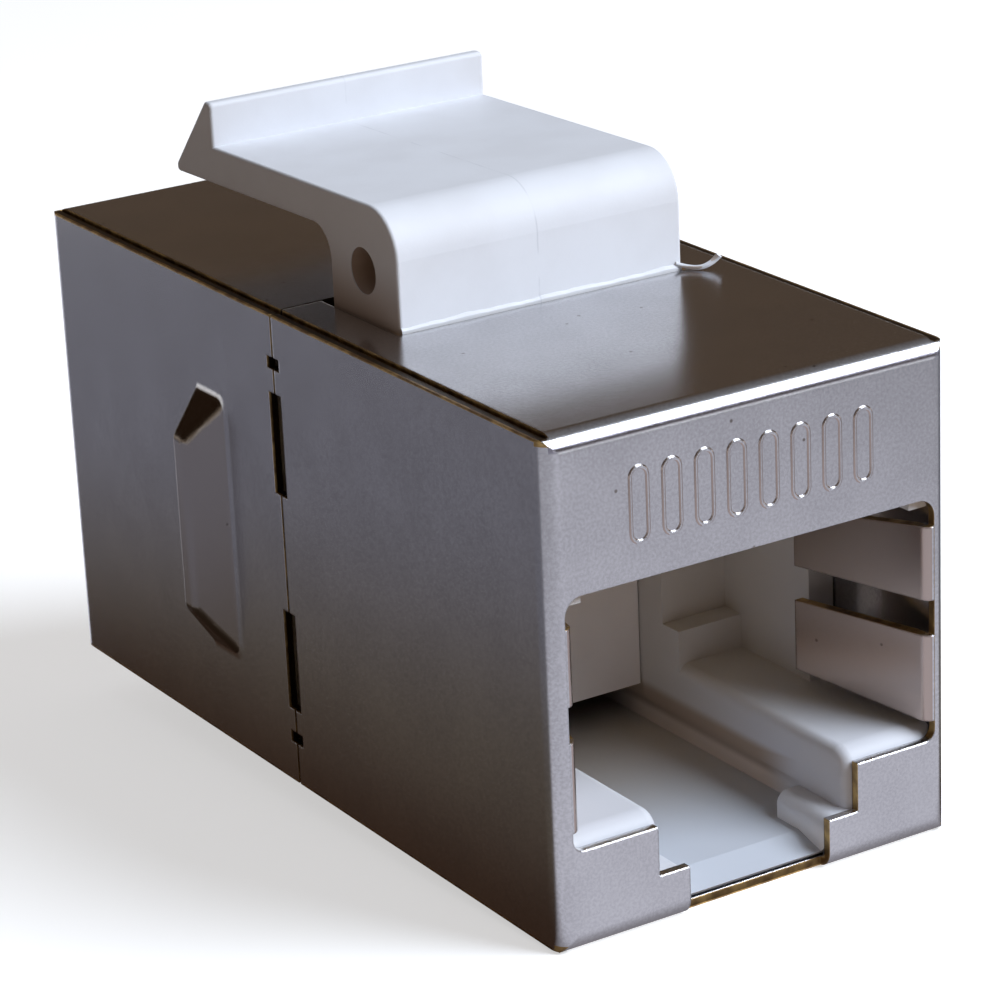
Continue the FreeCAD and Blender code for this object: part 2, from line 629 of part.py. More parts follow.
def contact_comb(label, place):
    """The moulding that carries the contacts: a bar over the port and a grooved wall behind it."""
    body = new_body(label)
    bar = across(body, "dim.comb_front")
    rectangle(bar, f"-{comb_side}", "dim.comb_bottom", comb_side, "dim.comb_top")
    pad(bar, f"{comb_back} - dim.comb_front", backwards=True)
    wall = across(body, "dim.comb_wall_depth")
    wall_side = f"({ledge_edge} - dim.fit)"
    outline(wall, [
        (f"-{wall_side}", "dim.comb_wall_bottom"), (wall_side, "dim.comb_wall_bottom"),
        (wall_side, "dim.comb_shoulder"), (head_side, "dim.comb_shoulder"), (head_side, "dim.comb_bottom"),
        (f"-{head_side}", "dim.comb_bottom"), (f"-{head_side}", "dim.comb_shoulder"),
        (f"-{wall_side}", "dim.comb_shoulder")])
    pad(wall, f"{comb_back} - dim.comb_wall_depth", backwards=True)
    grooves = across(body, "dim.comb_wall_depth")
    holes = across(body, "dim.comb_front")
    for number_of_contact in range(1, CONTACTS + 1):
        x, run = contact_place(number_of_contact)[:2]
        rectangle(grooves, f"{x} - dim.groove_width / 2", "dim.groove_bottom",
                  f"{x} + dim.groove_width / 2", "dim.comb_bottom")
        strip_section(holes, x, run, "dim.strip_fit")
    pocket(grooves, "dim.groove_depth")
    pocket(holes, "dim.body_length")
    place(body)
    return body


def circuit_board():
    """The upright board that joins the two sets of contacts, with a hole for each soldered tail."""
    body = new_body("circuit_board")
    plate = across(body)
    rectangle(plate, "-dim.board_width / 2", "dim.board_bottom", "dim.board_width / 2", "dim.board_top")
    pad(plate, "dim.board_thickness", both_ways=True)
    holes = across(body)
    for number_of_contact in range(1, CONTACTS + 1):
        x = contact_place(number_of_contact)[0]
        for run in ("dim.low_run", "dim.high_run"):
            strip_section(holes, x, run, "dim.strip_fit")
    pocket(holes, f"dim.board_thickness + 2 * {BEYOND}", both_ways=True)
    place_middle(body)
    return body


def latch():
    """The moulded clip: rounded root, sprung arm with a catch at its end, heel and two trunnions."""
    body = new_body("latch")
    profile = sketch(body, "YZ_Plane")
    front = "dim.latch_front"
    back = "dim.latch_back"
    end_top = "(dim.latch_top - dim.latch_fall)"
    end = f"({catch_face} + dim.tab_length)"
    crest_end = f"{catch_face} + dim.tab_crest"
    crest = f"({end_top} + dim.tab_height)"
    under = f"({end_top} - dim.latch_arm)"
    outline(profile, [
        (front, "dim.heel_neck"), (front, "dim.latch_top", "dim.latch_round"), (catch_face, end_top),
        (catch_face, crest, "dim.tab_edge"), (crest_end, crest, "dim.tab_edge"),
        (end, f"{under} + dim.tab_toe", "dim.tab_edge"), (end, under, "dim.tab_edge"),
        (back, "dim.latch_top - dim.latch_arm", "dim.latch_inner_round"), (back, "dim.heel_neck"),
        (f"{latch_middle} + dim.heel_width / 2", "dim.heel_bottom", "dim.heel_round"),
        (f"{latch_middle} - dim.heel_width / 2", "dim.heel_bottom", "dim.heel_round")])
    clip = pad(profile, "dim.latch_width", both_ways=True)
    sides = edges_where(clip, lambda edge: near(abs(edge.CenterOfMass.x), "dim.latch_width / 2")
                        and edge.BoundBox.ZMin > number("dim.heel_neck") - SAME)
    dress("Fillet", clip, sides, "Radius", "dim.latch_edge")
    trunnions = sketch(body, "YZ_Plane")
    circle(trunnions, (latch_middle, "dim.trunnion_height"), "dim.trunnion_radius")
    pad(trunnions, "dim.latch_width + 2 * dim.trunnion_length", both_ways=True)
    for sign in ("", "-"):
        core = sketch(body, "YZ_Plane", f"{sign}(dim.latch_width / 2)")
        circle(core, (latch_middle, "dim.core_height"), "dim.core_diameter / 2")
        pocket(core, "dim.core_depth", backwards=(sign == "-"))
    place_middle(body)
    return body


def check():
    """Stops if an object failed, a piece isn't one valid solid, or a cut took nothing away."""
    doc.recompute()
    for item in doc.Objects:
        if "Invalid" in item.State or "Error" in item.State:
            raise RuntimeError(f"{item.Name} failed: {item.State}")
        if item.TypeId in ("PartDesign::Pocket", "PartDesign::SubtractiveLoft"):
            if item.Shape.Volume > item.BaseFeature.Shape.Volume - SAME:
                raise RuntimeError(f"{item.Name} in {item.getParentGeoFeatureGroup().Label} cuts nothing")
    for piece in pieces:
        if piece.Shape.isNull() or not piece.Shape.isValid() or len(piece.Shape.Solids) != 1:
            raise RuntimeError(f"{piece.Label} isn't one valid solid")


pieces = [front_shell(), rear_shell(), front_housing(), rear_housing(), latch(), circuit_board()]
for end, place in (("front", place_front), ("rear", place_rear)):
    pieces.append(contact_comb(f"{end}_contact_comb", place))
    for contact_number in range(1, CONTACTS + 1):
        pieces.append(contact(f"{end}_contact_{contact_number}", contact_number, place))
check()

os.makedirs("parts", exist_ok=True)
for piece in pieces:
    piece.Shape.exportStep(f"parts/{piece.Label}.step")
    print(f"{piece.Label}: {piece.Shape.Volume:.2f} mm3")
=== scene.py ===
import json
import math

import bmesh
import bpy
from mathutils import Matrix, Vector


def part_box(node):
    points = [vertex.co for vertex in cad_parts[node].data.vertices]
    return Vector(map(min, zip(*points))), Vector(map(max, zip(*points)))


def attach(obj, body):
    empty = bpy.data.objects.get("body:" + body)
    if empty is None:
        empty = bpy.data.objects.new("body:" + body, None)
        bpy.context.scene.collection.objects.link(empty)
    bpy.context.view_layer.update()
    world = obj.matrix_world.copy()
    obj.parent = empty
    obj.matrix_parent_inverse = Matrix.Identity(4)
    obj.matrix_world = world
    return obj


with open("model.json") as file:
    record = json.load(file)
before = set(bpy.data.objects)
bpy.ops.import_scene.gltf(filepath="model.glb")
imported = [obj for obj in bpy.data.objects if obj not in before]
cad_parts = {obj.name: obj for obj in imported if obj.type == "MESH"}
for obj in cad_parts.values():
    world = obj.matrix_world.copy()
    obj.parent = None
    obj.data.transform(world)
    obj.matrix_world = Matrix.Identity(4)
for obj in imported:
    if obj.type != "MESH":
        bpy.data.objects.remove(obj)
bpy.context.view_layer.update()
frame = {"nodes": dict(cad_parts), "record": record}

# Circuit board
# The upright board at mid-length that the contacts of both ports are soldered into. It is woven glass
# laminate under green resist, routed to size, so its edges show the bare straw-coloured laminate.

MM = 0.001


class Socket:
    """An output of a shader node. Arithmetic on it adds Math nodes to its tree."""

    def __init__(self, tree, output=None):
        self.tree = tree
        self.output = output

    def node(self, kind, settings, sockets, output=0):
        """Adds a node: its settings first, then a value or a link for each named socket."""
        made = self.tree.nodes.new(f"ShaderNode{kind}")
        for name, value in settings.items():
            setattr(made, name, value)
        for name, value in sockets.items():
            if isinstance(value, Socket):
                self.tree.links.new(value.output, made.inputs[name])
            else:
                made.inputs[name].default_value = value
        return Socket(self.tree, made.outputs[output])

    def math(self, operation, first, second=0.0):
        return self.node("Math", {"operation": operation}, {0: first, 1: second})

    def __add__(self, other):
        return self.math("ADD", self, other)

    def __sub__(self, other):
        return self.math("SUBTRACT", self, other)

    def __rsub__(self, other):
        return self.math("SUBTRACT", other, self)

    def __mul__(self, other):
        return self.math("MULTIPLY", self, other)

    def __gt__(self, other):
        return self.math("GREATER_THAN", self, other)

    def __lt__(self, other):
        return self.math("LESS_THAN", self, other)

    def __and__(self, other):
        return self.math("MINIMUM", self, other)

    def __or__(self, other):
        return self.math("MAXIMUM", self, other)

    def __abs__(self):
        return self.math("ABSOLUTE", self)

    __radd__ = __add__
    __rmul__ = __mul__

    def fade(self, start, end):
        """0 before start and 1 after end, with a smooth change between them."""
        settings = {"interpolation_type": "SMOOTHSTEP"}
        return self.node("MapRange", settings, {"Value": self, "From Min": start, "From Max": end})

    def mix(self, first, second):
        """From one colour to another as this value goes from 0 to 1."""
        return self.node("Mix", {"data_type": "RGBA"}, {0: self, 6: first, 7: second}, output=2)


class Finish:
    """A new material with its surface shader, and the places and directions that its masks are made of."""

    def __init__(self, name, **constants):
        self.material = bpy.data.materials.new(name)
        self.material.use_nodes = True
        tree = self.material.node_tree
        self.surface = tree.nodes["Principled BSDF"]
        for socket, value in constants.items():
            self.surface.inputs[socket.replace("_", " ")].default_value = value
        self.make = Socket(tree)
        place = self.make.node("TexCoord", {}, {}, output="Object")
        self.place = self.make.node("VectorMath", {"operation": "SCALE"}, {0: place, "Scale": 1 / MM})
        self.x, self.y, self.z = self.split(self.place)
        normal = self.make.node("TexCoord", {}, {}, output="Normal")
        self.facing = [abs(part) for part in self.split(normal)]

    def split(self, vector):
        return [self.make.node("SeparateXYZ", {}, {0: vector}, output=axis) for axis in "XYZ"]

    def noise(self, size, detail=2.0, roughness=0.5):
        """Soft random variation about 0.5, with features of about that many millimetres."""
        sockets = {"Vector": self.place, "Scale": 1 / size, "Detail": detail, "Roughness": roughness}
        return self.make.node("TexNoise", {}, sockets)

    def bump(self, height, strength, rise, edge=0):
        """A normal bent by a height between 0 and 1 that stands for a rise, and rounded at edges if asked."""
        sockets = {"Height": height, "Strength": strength, "Distance": rise * MM}
        if edge:
            sockets["Normal"] = self.make.node("Bevel", {"samples": 4}, {"Radius": edge * MM})
        return self.make.node("Bump", {}, sockets)

    def set(self, **links):
        for socket, value in links.items():
            self.make.tree.links.new(value.output, self.surface.inputs[socket.replace("_", " ")])


def coat(finish, *names):
    """Gives CAD nodes a finish in place of their packed material."""
    for name in names:
        node = frame["nodes"][name]
        node.data.materials.clear()
        node.data.materials.append(finish.material)


RESIST_GREEN = (0.012, 0.11, 0.045, 1)
RESIST_DARK = (0.006, 0.06, 0.025, 1)
LAMINATE_STRAW = (0.42, 0.36, 0.2, 1)
RESIST_ROUGHNESS = 0.25
LAMINATE_ROUGHER = 0.4
WEAVE_PITCH = 0.5
EDGE_ON = 0.8

resist = Finish("resist_green")
weave_bands = {"Vector": resist.place, "Scale": 1 / WEAVE_PITCH}
weave = resist.make.node("TexWave", {"bands_direction": "X"}, weave_bands)
board_edge = (resist.facing[0] | resist.facing[2]) > EDGE_ON
resist_tone = (weave * 0.5 + resist.noise(size=0.8) * 0.5).mix(RESIST_DARK, RESIST_GREEN)
resist.set(Base_Color=board_edge.mix(resist_tone, LAMINATE_STRAW),
           Roughness=RESIST_ROUGHNESS + board_edge * LAMINATE_ROUGHER,
           Normal=resist.bump(weave, strength=0.2, rise=0.01))
coat(resist, "circuit_board")

# Contacts
# Eight sprung strips for each port, formed from phosphor bronze and gold-plated. Their tails are soldered
# into the board and their arms lean on the comb's grooves until a plug lifts them.

GOLD = (0.83, 0.57, 0.2, 1)
GOLD_PALE = (0.9, 0.68, 0.32, 1)
GOLD_ROUGHNESS = 0.18
GOLD_CLOUDING = 0.14
CONTACTS = 8

gold = Finish("contact_gold", Metallic=1.0)
gold_cloud = gold.noise(size=0.6)
gold.set(Base_Color=gold_cloud.mix(GOLD, GOLD_PALE),
         Roughness=GOLD_ROUGHNESS + gold_cloud * GOLD_CLOUDING,
         Normal=gold.bump(gold.noise(size=0.06), strength=0.12, rise=0.01))
for end in ("front", "rear"):
    coat(gold, *[f"{end}_contact_{number}" for number in range(1, CONTACTS + 1)])

# Port mouldings
# Each port's housing and the comb that closes its back are injection-moulded in white plastic with a fine
# eroded grain.
# They sit in the can. The housing's colour holds painted shade deep inside, in its channel, in the channel's
# throat and under its lips, and a painted highlight on the stops at the mouth.

PORT_WHITE = (0.69, 0.705, 0.755, 1)
PORT_DEEP_SHADE = (0.64, 0.61, 0.58, 1)
CHANNEL_SHADED_WHITE = (0.57, 0.605, 0.67, 1)
LIP_SHADE = (0.42, 0.33, 0.26, 1)
LIP_FOOT_SHADE = (0.76, 0.65, 0.57, 1)
STOP_LIT_WHITE = (0.88, 0.89, 0.92, 1)
THROAT_SHADE = (0.15, 0.12, 0.115, 1)
COMB_WHITE = (0.88, 0.84, 0.83, 1)
COMB_DULL = (0.84, 0.8, 0.79, 1)
PORT_GLOSS = 0.3
MOULDED_ROUGHNESS = 0.4
MOULDED_CLOUDING = 0.12
MOULDED_GRAIN = 0.1
MOULDED_CONTRAST = (0.35, 0.75)
SIDE_ON = 0.6

# Heights, and distances from the board, over which one tone gives way to the next
CHANNEL_TOP = (1.0, 1.7)
LIP_FOOT_TOP = (1.2, 1.5)
LIP_TOP = (2.1, 2.5)
THROAT_END = (1.5, 4)
DEEP_END = (5, 13)
MOUTH_START = (10.5, 13)


def white_moulding(name, gloss):
    """White plastic: the grain that the eroded mould leaves, and the slight clouding of its gloss."""
    finish = Finish(name, Specular_IOR_Level=gloss)
    cloud = finish.noise(size=3.0, detail=3.0)
    grain = finish.noise(size=0.09, detail=3.0)
    finish.set(Roughness=MOULDED_ROUGHNESS + cloud * MOULDED_CLOUDING + grain * MOULDED_GRAIN)
    return finish, cloud, grain


port_plastic, port_cloud, port_grain = white_moulding("port_moulding", PORT_GLOSS)
board_low, board_high = (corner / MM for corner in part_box("circuit_board"))
from_board = abs(port_plastic.y - (board_low.y + board_high.y) / 2)
# Painted shade: the housing darkens deep inside, towards the board.
deep_shade = 1 - (from_board + port_cloud).fade(*DEEP_END)
channel = 1 - port_plastic.z.fade(*CHANNEL_TOP)
throat = channel & (1 - from_board.fade(*THROAT_END))
side_face = port_plastic.facing[0] > SIDE_ON
at_mouth = from_board.fade(*MOUTH_START)
# Painted light: the side faces of the stops at the mouth are whiter, as if lit.
lit_stop_face = channel & side_face & at_mouth
# Painted shade: a brown band on the channel's side walls under the lips, and a warm grey below it.
over_foot = port_plastic.z.fade(*LIP_FOOT_TOP)
lip_wall = side_face & (1 - at_mouth) & (1 - port_plastic.z.fade(*LIP_TOP))
# Painted shade: the channel's floor takes a darker white than the rest of the housing.
port_tone = deep_shade.mix(channel.mix(PORT_WHITE, CHANNEL_SHADED_WHITE), PORT_DEEP_SHADE)
walled_tone = lip_wall.mix(port_tone, over_foot.mix(LIP_FOOT_SHADE, LIP_SHADE))
port_plastic.set(Base_Color=throat.mix(lit_stop_face.mix(walled_tone, STOP_LIT_WHITE), THROAT_SHADE),
                 Normal=port_plastic.bump(port_grain, strength=0.25, rise=0.006))
coat(port_plastic, "front_housing", "rear_housing")

comb_plastic, comb_cloud, comb_grain = white_moulding("comb_moulding", PORT_GLOSS)
comb_plastic.set(Base_Color=comb_cloud.fade(*MOULDED_CONTRAST).mix(COMB_WHITE, COMB_DULL),
                 Normal=comb_plastic.bump(comb_grain, strength=0.25, rise=0.006))
coat(comb_plastic, "front_contact_comb", "rear_contact_comb")

# Can
# Two halves blanked from nickel-plated brass sheet, then folded to boxes that meet at mid-length. The plating
# is satin with fine pits, and edges cut bare show the brass. Its colour also holds painted shade on the tabs
# inside the ports, the louvers' end ramps and the cut edges along the seams, a painted dark reflection under
# the near top fold, and a painted highlight on the up-facing cut edges of the ports' lower steps.

NICKEL = (0.59, 0.58, 0.59, 1)
NICKEL_DULL = (0.47, 0.46, 0.47, 1)
NICKEL_STEP_HIGHLIGHT = (0.85, 0.84, 0.83, 1)
NICKEL_RUBBED = (0.5, 0.46, 0.44, 1)
NICKEL_LOUVER_SHADE = (0.13, 0.1, 0.075, 1)
NICKEL_DARK_REFLECTION = (0.31, 0.295, 0.33, 1)
NICKEL_TAB_SHADE = (0.42, 0.34, 0.3, 1)
PIT_BROWN = (0.14, 0.11, 0.09, 1)
BRASS = (0.55, 0.37, 0.15, 1)
BRASS_DARK = (0.24, 0.15, 0.065, 1)
BRASS_GAP_SHADE = (0.06, 0.04, 0.025, 1)
PLATE_ROUGHNESS = 0.12
GRAIN_ROUGHER = 0.1
CLOUD_ROUGHER = 0.06
BARE_ROUGHER = 0.2
MOTTLE_CLOUD = (0.3, 0.7)
MOTTLE_GRAIN = (0.35, 0.65)
MOTTLE_CLOUD_SHARE = 0.4
BRASS_CONTRAST = (0.3, 0.7)
TAB_SMOOTHER = 0.85
PITS_PER_MM = 1.5
PIT_RADIUS = 0.085
PIT_RARITY = 0.75
PIT_DARKNESS = 0.75
PIT_DEPTH = 0.5
SHEET = 0.3
BEND_RADIUS = 0.6
EDGE_OFF = 0.3
FOLD_TURN = 0.25

# Reaches of the masks, in millimetres from the can's outer faces
SKIN = 0.02
SIDE_EDGE_SLACK = 0.05
FOLD_SLACK = 0.03
BRIGHT_EDGE = 0.09
WORN_CORNER = 0.17
FACE_INSET = 0.5
TAB_INSET = 0.62
TAB_CLEARANCE = 1
SEAM_REACH = 0.5
LOUVER_FOOT = 0.05
LOUVER_SLOPE = (0.03, 0.2)
REFLECTION_LINE_DEPTH = 0.1
REFLECTION_LINE_ABOVE_BEND = 0.2
REFLECTION_LINE_WIDTH = (0.05, 0.14)

shell_low, shell_high = (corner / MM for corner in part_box("front_shell"))
rear_low, rear_high = (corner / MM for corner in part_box("rear_shell"))
seam = (shell_high.y + rear_low.y) / 2
half_length = rear_high.y - seam
half_width = shell_high.x
can_top = shell_high.z
half_height = can_top / 2

plated = Finish("nickel_plate", Metallic=1.0)
from_side = abs(plated.x)
from_middle = abs(plated.z - half_height)
depth = half_length - abs(plated.y - seam)
across, lengthways, upright = plated.facing
outer_face = from_side > half_width - SKIN
side_wall_edge = (from_side > half_width - SHEET - SIDE_EDGE_SLACK) & (upright > EDGE_ON)
top_wall_edge = (from_middle > half_height - SHEET) & (upright < EDGE_OFF) & (1 - outer_face)
worn_corner = (from_middle > half_height - WORN_CORNER) & outer_face
seam_edge = (depth > half_length - SEAM_REACH) & (lengthways > EDGE_ON)
louver = from_side > half_width + SKIN
louver_edge = louver & (lengthways > EDGE_ON)
louver_end_shade = louver & upright.fade(*LOUVER_SLOPE)
within_face = from_side < half_width - FACE_INSET
port_edge = (depth < SHEET - SKIN) & within_face & (lengthways < EDGE_OFF)
# Painted highlight: the up-facing cut edges of the port opening's lower steps are near white.
highlit_step_edge = port_edge & (upright > EDGE_ON) & (plated.z > SHEET) & (plated.z < half_height)
between = from_middle < half_height - TAB_CLEARANCE
behind_face = (depth > SHEET + SKIN) & (depth < half_length / 2)
inside = between & (from_side < half_width - TAB_INSET) & behind_face
tab_edge = inside & ((upright > EDGE_ON) | (lengthways > EDGE_ON))
tab_fold = between & within_face & (depth < SHEET + FOLD_SLACK) & (across > FOLD_TURN)
wall_edge = side_wall_edge | top_wall_edge | worn_corner | seam_edge
bare_edge = wall_edge | louver_edge | (port_edge - highlit_step_edge) | tab_edge
# Painted shade: the cut edges along the corner seams and the mid-length seam are near black, leaving a thin
# brass line at the outer face.
gap_shade = (side_wall_edge | seam_edge) & (from_side < half_width - BRIGHT_EDGE)
# Painted reflection: a dark line along the near face just under the top fold.
from_reflection_line = abs(plated.z - (can_top - BEND_RADIUS + REFLECTION_LINE_ABOVE_BEND))
reflection_line = (depth < REFLECTION_LINE_DEPTH) & (1 - from_reflection_line.fade(*REFLECTION_LINE_WIDTH))

plate_cloud = plated.noise(size=2.5, detail=4.0)
plate_grain = plated.noise(size=0.1, detail=3.0, roughness=0.6)
pit_cells = {"Vector": plated.place, "Scale": PITS_PER_MM}
pit_distance = plated.make.node("TexVoronoi", {}, pit_cells, output="Distance")
pit_chance = plated.make.node("TexVoronoi", {}, pit_cells, output="Color")
pit = (pit_distance < PIT_RADIUS) & (plated.split(pit_chance)[0] > PIT_RARITY)
clouded = plate_cloud.fade(*MOTTLE_CLOUD)
grained = plate_grain.fade(*MOTTLE_GRAIN)
mottle = clouded * MOTTLE_CLOUD_SHARE + grained * (1 - MOTTLE_CLOUD_SHARE)
nickel_tone = mottle.mix(NICKEL, NICKEL_DULL)
reflection_line_tone = reflection_line.mix(nickel_tone, NICKEL_DARK_REFLECTION)
# Painted shade: the tabs and folds inside the ports are a dim brown.
tab_shaded_tone = (inside | tab_fold).mix(reflection_line_tone, NICKEL_TAB_SHADE)
# Painted shade: the louvers' end ramps are near black brown, while their raised faces keep a rubbed tone.
rubbed_and_shaded_tone = louver_end_shade.mix(NICKEL_RUBBED, NICKEL_LOUVER_SHADE)
worn_and_shaded_tone = (from_side > half_width + LOUVER_FOOT).mix(tab_shaded_tone, rubbed_and_shaded_tone)
pitted_tone = (pit * PIT_DARKNESS).mix(worn_and_shaded_tone, PIT_BROWN)
clean_brass = plated.noise(size=0.5).fade(*BRASS_CONTRAST).mix(BRASS, BRASS_DARK)
brass_tone = gap_shade.mix(clean_brass, BRASS_GAP_SHADE)
plate_relief = plate_grain * (1 - inside * TAB_SMOOTHER) - pit * PIT_DEPTH
plate_roughness = PLATE_ROUGHNESS + plate_grain * GRAIN_ROUGHER + plate_cloud * CLOUD_ROUGHER
plated.set(Base_Color=highlit_step_edge.mix(bare_edge.mix(pitted_tone, brass_tone), NICKEL_STEP_HIGHLIGHT),
           Roughness=plate_roughness + bare_edge * BARE_ROUGHER,
           Normal=plated.bump(plate_relief, strength=0.35, rise=0.004, edge=0.1))
coat(plated, "front_shell", "rear_shell")

# Stamped mark
# A row of eight outlined bars, one for each contact, embossed in the can above the near port. The press
# raised them from behind before plating, so they are soft-edged and of the can's own metal.

MARK_HEIGHT = 13.55
MARK_BAR = (0.6, 2.3)
MARK_PITCH = 1.15
MARK_LINE = 0.09
MARK_SINK = 0.045
MARK_ARC_STEPS = 8


def show(name, mesh, finish, body):
    """Adds a piece of the object that rides on a body."""
    piece = bpy.data.objects.new(name, mesh)
    bpy.context.scene.collection.objects.link(piece)
    mesh.materials.append(finish.material)
    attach(piece, body)
    return piece


mark = bpy.data.curves.new("stamped_mark", "CURVE")
mark.dimensions = "3D"
mark.bevel_depth = MARK_LINE * MM
mark.bevel_resolution = 3
radius = MARK_BAR[0] / 2
straight = MARK_BAR[1] / 2 - radius
for number in range(CONTACTS):
    centre = MARK_PITCH * (number - (CONTACTS - 1) / 2)
    bar = mark.splines.new("POLY")
    bar.points.add(2 * MARK_ARC_STEPS + 1)
    for step, point in enumerate(bar.points):
        half = step // (MARK_ARC_STEPS + 1)
        angle = math.pi * ((step - half) / MARK_ARC_STEPS)
        rise = straight if half == 0 else -straight
        x = centre + radius * math.cos(angle)
        z = MARK_HEIGHT + rise + radius * math.sin(angle)
        point.co = (*(Vector((x, shell_low.y + MARK_SINK, z)) * MM), 1)
    bar.use_cyclic_u = True
show("stamped_mark", mark, plated, "coupler")

# Latch
# The white moulded clip on top. The mould's two halves meet on its middle line and leave a fine parting line
# over the arm and down the front wall. Painted brown shade darkens the foot of its sides and the blind core
# holes in them.

LATCH_WHITE = (0.79, 0.8, 0.835, 1)
LATCH_SHADE = (0.745, 0.75, 0.78, 1)
LATCH_FOOT_SHADE = (0.56, 0.46, 0.39, 1)
LATCH_CORE_SHADE = (0.52, 0.4, 0.32, 1)
LATCH_GLOSS = 0.2
LATCH_WIDTH = 10.5
FOOT_HEIGHT = 2.2
CORE_FROM_SEAM = -2.525
CORE_HEIGHT = 17.73
CORE_RADIUS = 0.75
CORE_RIM = 0.03
CORE_SLACK = 1.05
PARTING_SHADE = (0.6, 0.61, 0.65, 1)
PARTING_WIDTH = 0.05
PARTING_OFFSET = 0.15
PARTING_BREAKS = (0.4, 0.6)
PARTING_DARKNESS = 0.6
LATCH_GRAIN = 0.5

latch_plastic, latch_cloud, latch_grain = white_moulding("latch_moulding", LATCH_GLOSS)
parting = 1 - abs(latch_plastic.x + PARTING_OFFSET).fade(0, PARTING_WIDTH)
parting_seen = parting * latch_plastic.noise(size=1.2).fade(*PARTING_BREAKS)
near_foot = 1 - latch_plastic.z.fade(can_top, can_top + FOOT_HEIGHT)
# Painted shade: brown on the latch's sides near their foot, and in the core holes.
foot_shade = near_foot & (latch_plastic.facing[0] > SIDE_ON)
core_y = latch_plastic.y - (seam + CORE_FROM_SEAM)
core_z = latch_plastic.z - CORE_HEIGHT
round_core = (core_y * core_y + core_z * core_z) < CORE_SLACK * CORE_RADIUS ** 2
in_core = round_core & (abs(latch_plastic.x) < LATCH_WIDTH / 2 - CORE_RIM)
latch_tone = latch_cloud.fade(*MOULDED_CONTRAST).mix(LATCH_WHITE, LATCH_SHADE)
shaded_latch_tone = in_core.mix(foot_shade.mix(latch_tone, LATCH_FOOT_SHADE), LATCH_CORE_SHADE)
latch_relief = latch_grain * LATCH_GRAIN - parting_seen
latch_plastic.set(Base_Color=(parting_seen * PARTING_DARKNESS).mix(shaded_latch_tone, PARTING_SHADE),
                  Normal=latch_plastic.bump(latch_relief, strength=0.25, rise=0.012))
coat(latch_plastic, "latch")

# Moulding flash
# A thin skirt of plastic that squeezed out along the foot of the latch's front wall, with a torn whisker
# that curls up from its right end. It is part of the latch's own shot of plastic.

SKIRT_HEIGHT = 0.2
SKIRT_THICKNESS = 0.07
SKIRT_STATIONS = 48
SKIRT_BITE = 0.01
SKIRT_BELOW = 0.1
SKIRT_SHORTER = 0.05
WHISKER_ROUTE = [(5.0, -9.86, 16.42), (5.2, -9.95, 16.32), (5.4, -10.2, 16.28), (5.58, -10.44, 16.3),
                 (5.82, -10.54, 16.38), (6.03, -10.58, 16.5), (6.13, -10.66, 16.66)]
WHISKER_RADIUS = 0.095
WHISKER_ROOT = 0.7
WHISKER_SWELL = 0.6

front_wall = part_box("latch")[0].y / MM
latch_side = LATCH_WIDTH / 2 - SKIRT_SHORTER


def ragged(x):
    """Height of the skirt's torn edge along the wall, as a share of its full height."""
    return 0.8 + 0.1 * math.sin(1.7 * x) + 0.07 * math.sin(4.3 * x + 1) + 0.05 * math.sin(11 * x + 2)


skirt = bmesh.new()
rings = []
for station in range(SKIRT_STATIONS + 1):
    x = latch_side * (2 * station / SKIRT_STATIONS - 1)
    bottom = can_top - SKIRT_BELOW
    top = can_top + SKIRT_HEIGHT * ragged(x)
    ring = [(front_wall + SKIRT_BITE, bottom), (front_wall - SKIRT_THICKNESS, bottom),
            (front_wall - SKIRT_THICKNESS, (can_top + top) / 2), (front_wall - SKIRT_THICKNESS / 3, top),
            (front_wall + SKIRT_BITE, top)]
    rings.append([skirt.verts.new(Vector((x, y, z)) * MM) for y, z in ring])
for here, there in zip(rings, rings[1:]):
    for corner in range(len(here)):
        following = (corner + 1) % len(here)
        skirt.faces.new((here[corner], here[following], there[following], there[corner]))
skirt.faces.new(rings[0][::-1])
skirt.faces.new(rings[-1])
bmesh.ops.recalc_face_normals(skirt, faces=skirt.faces)
skirt_mesh = bpy.data.meshes.new("flash_skirt")
skirt.to_mesh(skirt_mesh)
skirt.free()
show("flash_skirt", skirt_mesh, latch_plastic, "latch")

whisker = bpy.data.curves.new("flash_whisker", "CURVE")
whisker.dimensions = "3D"
whisker.bevel_depth = WHISKER_RADIUS * MM
whisker.bevel_resolution = 4
whisker.use_fill_caps = True
strand = whisker.splines.new("NURBS")
strand.points.add(len(WHISKER_ROUTE) - 1)
for index, (point, place) in enumerate(zip(strand.points, WHISKER_ROUTE)):
    point.co = (*(Vector(place) * MM), 1)
    point.radius = WHISKER_ROOT + WHISKER_SWELL * (index / len(WHISKER_ROUTE)) ** 2
strand.order_u = 4
strand.use_endpoint_u = True
strand.resolution_u = 8
show("flash_whisker", whisker, latch_plastic, "latch")

# Floor and card
# A plain pale table top that the module rests on, tipped by the angle that the lug under it gives. A card
# lies on it for the plated sides to reflect, with the module's shadow on the table painted into it as a dark
# band beside the module. The camera doesn't see the card, and it gives no light or shadow.

FLOOR_RADIUS = 1.5
FLOOR_SEEN = (0.9, 0.9, 0.9, 1)
FLOOR_NEAR = (0.36, 0.29, 0.23, 1)
FLOOR_FRONT = (0.5, 0.38, 0.28, 1)
FLOOR_FRONT_START = (-5, 15)
FLOOR_LIFT = (0.55, 0.55, 0.55, 1)
FLOOR_LIFT_REACH = (150, 600)
BLACK = (0, 0, 0, 1)
WHITE = (1, 1, 1, 1)
CARD_FOOT_SHADOW = (0.05, 0.028, 0.018, 1)
CARD_MIDDLE = (0.12, 0.1, 0.08, 1)
CARD_MIDDLE_START = (0, 9)
CARD_OUTER = (0.2, 0.2, 0.237, 1)
CARD_OUTER_START = (10, 30)
CARD_OUTER_SLANT = 0.2
CARD_FRONT = (0.81, 0.825, 0.935, 1)
CARD_FAR = (0.42, 0.425, 0.475, 1)
